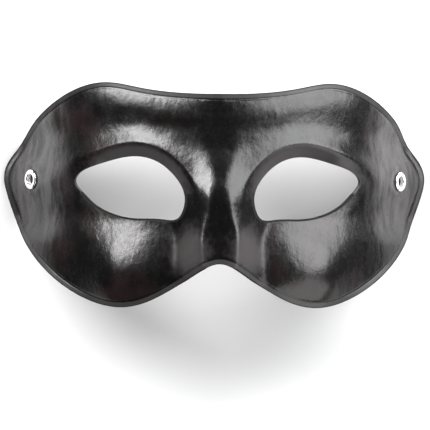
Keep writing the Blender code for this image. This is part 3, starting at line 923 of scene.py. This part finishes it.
def leather_material(finish):
    """The polished face: strokes of the polishing cloth, warm patches, fine grain and a duller lip; painted
    reflection on the side strokes, hollows and lip, and painted shade in the lip's groove and creases.
    """
    made, shader = new_material("polished_leather")
    tree = made.node_tree
    place = tree.nodes.new("ShaderNodeTexCoord").outputs["Object"]
    away = node(tree, "ShaderNodeSeparateXYZ", place).outputs
    across = absolute(tree, away[0])

    # Where each part of the finish lies, from 0 to 1; edge and eye are in millimetres
    off_middle = ramp(tree, across, 0.010, 0.034)
    side = ramp(tree, across, 0.056, 0.068)
    high = ramp(tree, away[1], -0.024, -0.002)
    edge, eye, hollow = (mark_of(tree, name) for name in MARKS)
    on_lip = ramp(tree, edge, 2.1, 1.7)
    burnt = sum_of(tree, ramp(tree, edge, 0.55, 0.15), ramp(tree, eye, 1.0, 0.6))
    # Painted shade: the groove inside the lip is darkened as if in shade, as well as dented
    fold = times(tree, ramp(tree, edge, 1.5, 2.1), ramp(tree, edge, 3.1, 2.3))
    # Painted shade: the creases are darkened as well as dented
    crease = crease_mask(tree, across, away[1])
    worn = effect(tree, "smears", place, 480.0, 380.0, 0.2, 0.8)
    # Painted reflection as well as duller polish: the hollows get a paler colour and more roughness
    dull_and_painted_reflection = ramp(tree, weighted(tree, hollow, (sum_of(tree, worn, -0.5), 0.12)), 0.04, 0.44)

    # Marks of polishing and wear
    strokes = effect(tree, "smears", place, 300.0, 62.0, 0.30, 0.70)
    patches = effect(tree, "smears", place, 150.0, 120.0, 0.30, 0.70)
    mottle = effect(tree, "smears", place, 620.0, 520.0, 0.25, 0.75)
    warm = effect(tree, "smears", place, 46.0, 40.0, 0.42, 0.66)
    waves = effect(tree, "smears", place, 170.0, 120.0, 0.20, 0.80)
    dust = effect(tree, "specks", place, 0.0009, 0.06)
    stroked = times(tree, side, strokes)

    tint = layered(
        tree,
        finish.black,
        (times(tree, warm, off_middle), finish.brown),
        # Partly painted reflection: paler strokes on the sides' upper part, where the floor's reflection
        # shows
        (times(tree, stroked, times(tree, high, 0.55)), finish.bloom_and_painted_reflection),
        (dull_and_painted_reflection, finish.dull_and_painted_reflection),
        # Painted highlight as well as thinner polish: the lip is made paler
        (times(tree, on_lip, 0.6), finish.lip),
        (times(tree, dust, 0.03), finish.dust),
        # Blackened cut edges, with painted shade in the lip's groove and in the creases
        (sum_of(tree, burnt, times(tree, fold, 0.7), crease), finish.black),
    )
    roughness = weighted(
        tree,
        finish.roughness,
        (patches, 0.05),
        (mottle, 0.05),
        (stroked, 0.06),
        (dull_and_painted_reflection, 0.24),
        (on_lip, 0.14),
        (burnt, 0.62),
        (dust, 0.04),
    )
    relief = weighted(
        tree,
        times(tree, waves, 0.000085),
        (mottle, 0.000013),
        (times(tree, sum_of(tree, side, 0.15), strokes), 0.000040),
        (fold, -0.00008),
        (crease, -0.00012),
    )
    height = sum_of(tree, relief, effect(tree, "pores", place, 0.0006, 0.000010))
    shader.inputs["IOR"].default_value = finish.refraction
    finish_surface(tree, shader, tint, roughness, height)
    return made


def back_material(finish):
    """The unpolished inner side: matt, fibrous and a little paler."""
    made, shader = new_material("unpolished_leather")
    tree = made.node_tree
    place = tree.nodes.new("ShaderNodeTexCoord").outputs["Object"]
    fibres = effect(tree, "smears", place, 1400.0, 300.0, 0.25, 0.75)
    clouds = effect(tree, "smears", place, 60.0, 60.0, 0.30, 0.70)
    dust = effect(tree, "specks", place, 0.0012, 0.12)
    tint = layered(tree, finish.back, (clouds, finish.brown), (times(tree, dust, 0.15), finish.dust))
    roughness = weighted(tree, 0.66, (fibres, 0.12), (clouds, 0.08))
    height = weighted(tree, effect(tree, "pores", place, 0.0011, 0.00004), (fibres, 0.00004))
    finish_surface(tree, shader, tint, roughness, height)
    return made


def metal_material(eyelet):
    """Bright nickel with rolling marks, small worn points and a duller bore, whose deep end is darkened as
    painted shade.
    """
    made, shader = new_material("bright_nickel")
    tree = made.node_tree
    place = tree.nodes.new("ShaderNodeTexCoord").outputs["Object"]
    deep = node(tree, "ShaderNodeSeparateXYZ", place).outputs[2]
    # Painted shade: 1 at the bore's deep end, which is darkened as if in shade
    painted_bore_shade = ramp(tree, times(tree, deep, -1.0), 0.0007, 0.0010)
    inner = ramp(tree, deep, 0.0008, 0.0002)
    rolled = effect(tree, "smears", place, 3800.0, 900.0, 0.30, 0.70)
    worn = effect(tree, "specks", place, 0.0004, 0.10)
    tint = layered(
        tree,
        eyelet.metal,
        (times(tree, worn, 0.25), eyelet.worn_metal),
        (times(tree, painted_bore_shade, 0.92), eyelet.painted_bore_shade),
    )
    roughness = weighted(tree, 0.16, (rolled, 0.08), (worn, 0.10), (inner, 0.55))
    height = weighted(tree, effect(tree, "pores", place, 0.0003, 0.000003), (rolled, 0.000002))
    shader.inputs["Metallic"].default_value = 1
    finish_surface(tree, shader, tint, roughness, height)
    return made


def cut_strap_hole(shell, place, radius):
    """Cuts one hole for a strap, and makes the shell's modifiers final."""
    mesh = bmesh.new()
    bmesh.ops.create_cone(
        mesh, cap_ends=True, segments=EYELET_SIDES, radius1=radius, radius2=radius, depth=STRAP_HOLE_DEPTH
    )
    cutter = add_object("strap_hole", mesh)
    cutter.matrix_world = place
    add_modifier(shell, "strap hole", "BOOLEAN", operation="DIFFERENCE", solver="EXACT", object=cutter)
    with bpy.context.temp_override(object=shell, active_object=shell):
        for modifier in [m.name for m in shell.modifiers]:
            bpy.ops.object.modifier_apply(modifier=modifier)
    bpy.data.objects.remove(cutter)


class MASK_OT_shell(bpy.types.Operator):
    """Builds the moulded leather shell"""

    bl_idname = "mask.shell"
    bl_label = "Build the shell"

    def execute(self, context):
        shape, eyelet = context.scene.mask_shape, context.scene.mask_eyelet
        finish = context.scene.mask_leather
        face = Face(shape, eyelet)
        surfaces = [leather_material(finish), back_material(finish)]
        shell = add_object("moulded_shell", shell_sheet(face), surfaces)
        add_modifier(
            shell,
            "wall",
            "SOLIDIFY",
            thickness=shape.wall,
            offset=-1,
            use_even_offset=True,
            material_offset=1,
        )
        shift = shell_shift(shell)
        limit = math.radians(55)
        add_modifier(shell, "rounded edges", "BEVEL", width=shape.edge_round, segments=3, angle_limit=limit)
        for side in (-1, 1):
            cut_strap_hole(shell, eyelet_place(face, side), eyelet.bore_radius + eyelet.sheet + eyelet.gap)
        shell.data.shade_smooth()
        shell.data.set_sharp_from_angle(angle=math.radians(50))
        shell.matrix_world = Matrix.Translation(shift)
        context.scene["mask_shift"] = list(shift)
        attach(shell, "root")
        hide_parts("mask_shell")
        return {"FINISHED"}


def eyelet_profile(eyelet, wall):
    """Half section of an eyelet, as radius and height over the outer face, from the bore's front edge."""
    bore, rim, curl = eyelet.bore_radius, eyelet.flange_radius, eyelet.curl_radius
    sheet, dome = eyelet.sheet, eyelet.dome
    barrel, wide = bore + sheet, rim - bore
    front, back = eyelet.gap, -wall - eyelet.gap
    top, end = front + sheet + dome, back - sheet
    return (
        (bore, front - 0.3 * sheet),
        (bore + 0.02 * wide, top - 0.95 * dome),
        (bore + 0.10 * wide, top - 0.38 * dome),
        (bore + 0.28 * wide, top),
        (bore + 0.62 * wide, top),
        (bore + 0.84 * wide, top - 0.28 * dome),
        (bore + 0.97 * wide, top - 0.90 * dome),
        (rim, front + 0.5 * sheet),
        (rim - 0.3 * sheet, front),
        (barrel + 0.3 * sheet, front),
        (barrel, front - 0.3 * sheet),
        (barrel, back + 0.3 * sheet),
        (barrel + 0.3 * sheet, back),
        (curl - 0.6 * sheet, back),
        (curl, back - 0.4 * sheet),
        (curl - 0.5 * sheet, end),
        (barrel, end - 0.1 * sheet),
        (bore + 0.2 * sheet, end + 0.2 * sheet),
        (bore, end + 0.6 * sheet),
    )


def turned(profile, sides):
    """A closed profile of radius and height turned round Z."""
    mesh = bmesh.new()
    rings = []
    for i in range(sides):
        angle = 2 * math.pi * i / sides
        ray = Vector((math.cos(angle), math.sin(angle), 0))
        rings.append([mesh.verts.new(ray * r + Vector((0, 0, z))) for r, z in profile])
    for i in range(sides):
        here, there = rings[i], rings[(i + 1) % sides]
        for k in range(len(profile)):
            m = (k + 1) % len(profile)
            mesh.faces.new((here[k], here[m], there[m], there[k]))
    bmesh.ops.recalc_face_normals(mesh, faces=mesh.faces)
    return mesh


class MASK_OT_eyelets(bpy.types.Operator):
    """Builds the two metal eyelets"""

    bl_idname = "mask.eyelets"
    bl_label = "Build the eyelets"

    def execute(self, context):
        settings = context.scene
        if "mask_shift" not in settings:
            raise RuntimeError("build the shell before the eyelets")
        face = Face(settings.mask_shape, settings.mask_eyelet)
        metal = metal_material(settings.mask_eyelet)
        profile = eyelet_profile(settings.mask_eyelet, settings.mask_shape.wall)
        for side, name in ((-1, "left"), (1, "right")):
            eyelet = add_object("strap_eyelet_" + name, turned(profile, EYELET_SIDES), [metal])
            eyelet.matrix_world = Matrix.Translation(settings["mask_shift"]) @ eyelet_place(face, side)
            add_modifier(eyelet, "round edges", "SUBSURF", levels=1, render_levels=1)
            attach(eyelet, "root")
            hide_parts("eyelet_" + name)
        return {"FINISHED"}


# The lights point at a place over the floor's middle, and the camera at the mask's middle
LIGHTS_AIM = (0.0, 0.0, 0.03)
MASK_MIDDLE_HEIGHT = 0.0325

# Soft boxes: name, angle round from the right, angle above the floor, half width and half height as angles
# seen from the mask, radiance, colour
BOXES = (
    ("left box", 134.0, 38.5, 20.0, 7.0, 31.0, (1.0, 1.0, 1.0)),
    ("right box", 35.0, 35.0, 24.0, 15.5, 12.0, (0.985, 0.99, 1.0)),
    ("front box", 314.0, 34.0, 30.0, 22.0, 3.6, (1.0, 1.0, 1.0)),
)
BOX_DISTANCE = 1.2

# Bright parts of the table beside the mask, out of the picture: near edge, far edge, low edge, high edge,
# height over the floor, radiance
TABLE_GLOW = (0.105, 0.42, 0.0, 0.30, 0.002, 1.9)


def add_light(name, place, facing, width, depth, radiance, tint):
    """A soft rectangle of light that the camera doesn't see."""
    lamp = bpy.data.lights.new(name, "AREA")
    lamp.shape = "RECTANGLE"
    lamp.size, lamp.size_y = width, depth
    lamp.energy = radiance * math.pi * width * depth
    lamp.color = tint
    made = bpy.data.objects.new(name, lamp)
    bpy.context.scene.collection.objects.link(made)
    made.location = place
    made.rotation_mode = "QUATERNION"
    made.rotation_quaternion = facing.to_track_quat("-Z", "Y")
    made.visible_camera = False


def add_lights():
    """The three soft boxes round the mask, and the glow of the table on both sides of it."""
    middle = Vector(LIGHTS_AIM)
    for name, around, above, half_wide, half_high, radiance, tint in BOXES:
        a, e = math.radians(around), math.radians(above)
        out = Vector((math.cos(a) * math.cos(e), math.sin(a) * math.cos(e), math.sin(e)))
        wide, high = (2 * BOX_DISTANCE * math.tan(math.radians(h)) for h in (half_wide, half_high))
        add_light(name, middle + BOX_DISTANCE * out, -out, wide, high, radiance, tint)
    near, far, low, high, lift, radiance = TABLE_GLOW
    for side, name in ((-1, "left glow"), (1, "right glow")):
        place = Vector((side * (near + far) / 2, (low + high) / 2, lift))
        add_light(name, place, Vector((0, 0, 1)), far - near, high - low, radiance, (1, 1, 1))


# Camera, in degrees: its turns about the mask's height, width and depth, and how far off the mask's middle
# it points
CAMERA_TURN = (2.11, -1.38, -0.30)
CAMERA_AIM = (0.063, -0.464)

WORLD_COLOUR = (0.03, 0.03, 0.03)


def add_floor(tint):
    """The plain pale floor."""
    mesh = bmesh.new()
    bmesh.ops.create_grid(mesh, x_segments=1, y_segments=1, size=4.0)
    surface, shader = new_material("white_floor")
    shader.inputs["Base Color"].default_value = (*tint, 1)
    shader.inputs["Roughness"].default_value = 0.6
    add_object("floor", mesh, [surface])


def add_camera(studio, middle):
    """The camera over the mask, turned as in the photograph."""
    yaw, pitch, roll = (Matrix.Rotation(math.radians(v), 4, a) for v, a in zip(CAMERA_TURN, "YXZ"))
    aim_x, aim_y = (Matrix.Rotation(math.radians(v), 4, a) for v, a in zip(CAMERA_AIM, "YX"))
    lens = bpy.data.cameras.new("camera")
    lens.lens = studio.lens
    made = bpy.data.objects.new("camera", lens)
    bpy.context.scene.collection.objects.link(made)
    turn = (roll @ pitch @ yaw).inverted()
    back = Matrix.Translation((0, 0, studio.camera_distance))
    made.matrix_world = Matrix.Translation(middle) @ turn @ back @ (aim_x @ aim_y)
    bpy.context.scene.camera = made


class MASK_OT_studio(bpy.types.Operator):
    """Sets up the floor, the lights and the camera"""

    bl_idname = "mask.studio"
    bl_label = "Set up the studio"

    def execute(self, context):
        if "mask_shift" not in context.scene:
            raise RuntimeError("build the shell before the studio")
        studio, shift = context.scene.mask_studio, context.scene["mask_shift"]
        add_floor(studio.floor)
        add_lights()
        add_camera(studio, (0, shift[1], shift[2] + MASK_MIDDLE_HEIGHT))
        world = bpy.data.worlds.new("studio")
        world.use_nodes = True
        world.node_tree.nodes["Background"].inputs["Color"].default_value = (*WORLD_COLOUR, 1)
        context.scene.world = world
        context.scene.view_settings.view_transform = "Standard"
        return {"FINISHED"}


class MASK_PT_panel(bpy.types.Panel):
    """Lists the mask's sizes and the steps that build it"""

    bl_idname = "MASK_PT_panel"
    bl_label = "Party eye mask"
    bl_space_type = "VIEW_3D"
    bl_region_type = "UI"
    bl_category = "Mask"

    def draw(self, context):
        for group in GROUPS:
            box = self.layout.box()
            settings = getattr(context.scene, group)
            for name in settings.__annotations__:
                box.prop(settings, name)
        for step in STEPS:
            self.layout.operator(step.bl_idname)


GROUPS = {
    "mask_shape": MaskShape,
    "mask_eyelet": EyeletShape,
    "mask_leather": LeatherFinish,
    "mask_studio": Studio,
}
STEPS = (MASK_OT_shell, MASK_OT_eyelets, MASK_OT_studio)


def register():
    for kind in (*GROUPS.values(), *STEPS, MASK_PT_panel):
        bpy.utils.register_class(kind)
    for name, kind in GROUPS.items():
        setattr(bpy.types.Scene, name, PointerProperty(type=kind))


def unregister():
    for name in GROUPS:
        delattr(bpy.types.Scene, name)
    for kind in (MASK_PT_panel, *STEPS[::-1], *list(GROUPS.values())[::-1]):
        bpy.utils.unregister_class(kind)


def main():
    """Builds the whole scene."""
    for old in [o for o in bpy.context.scene.objects if o.name in ("Cube", "Light", "Camera")]:
        bpy.data.objects.remove(old)
    register()
    bpy.ops.mask.shell()
    bpy.ops.mask.eyelets()
    bpy.ops.mask.studio()


if __name__ == "__main__":
    main()
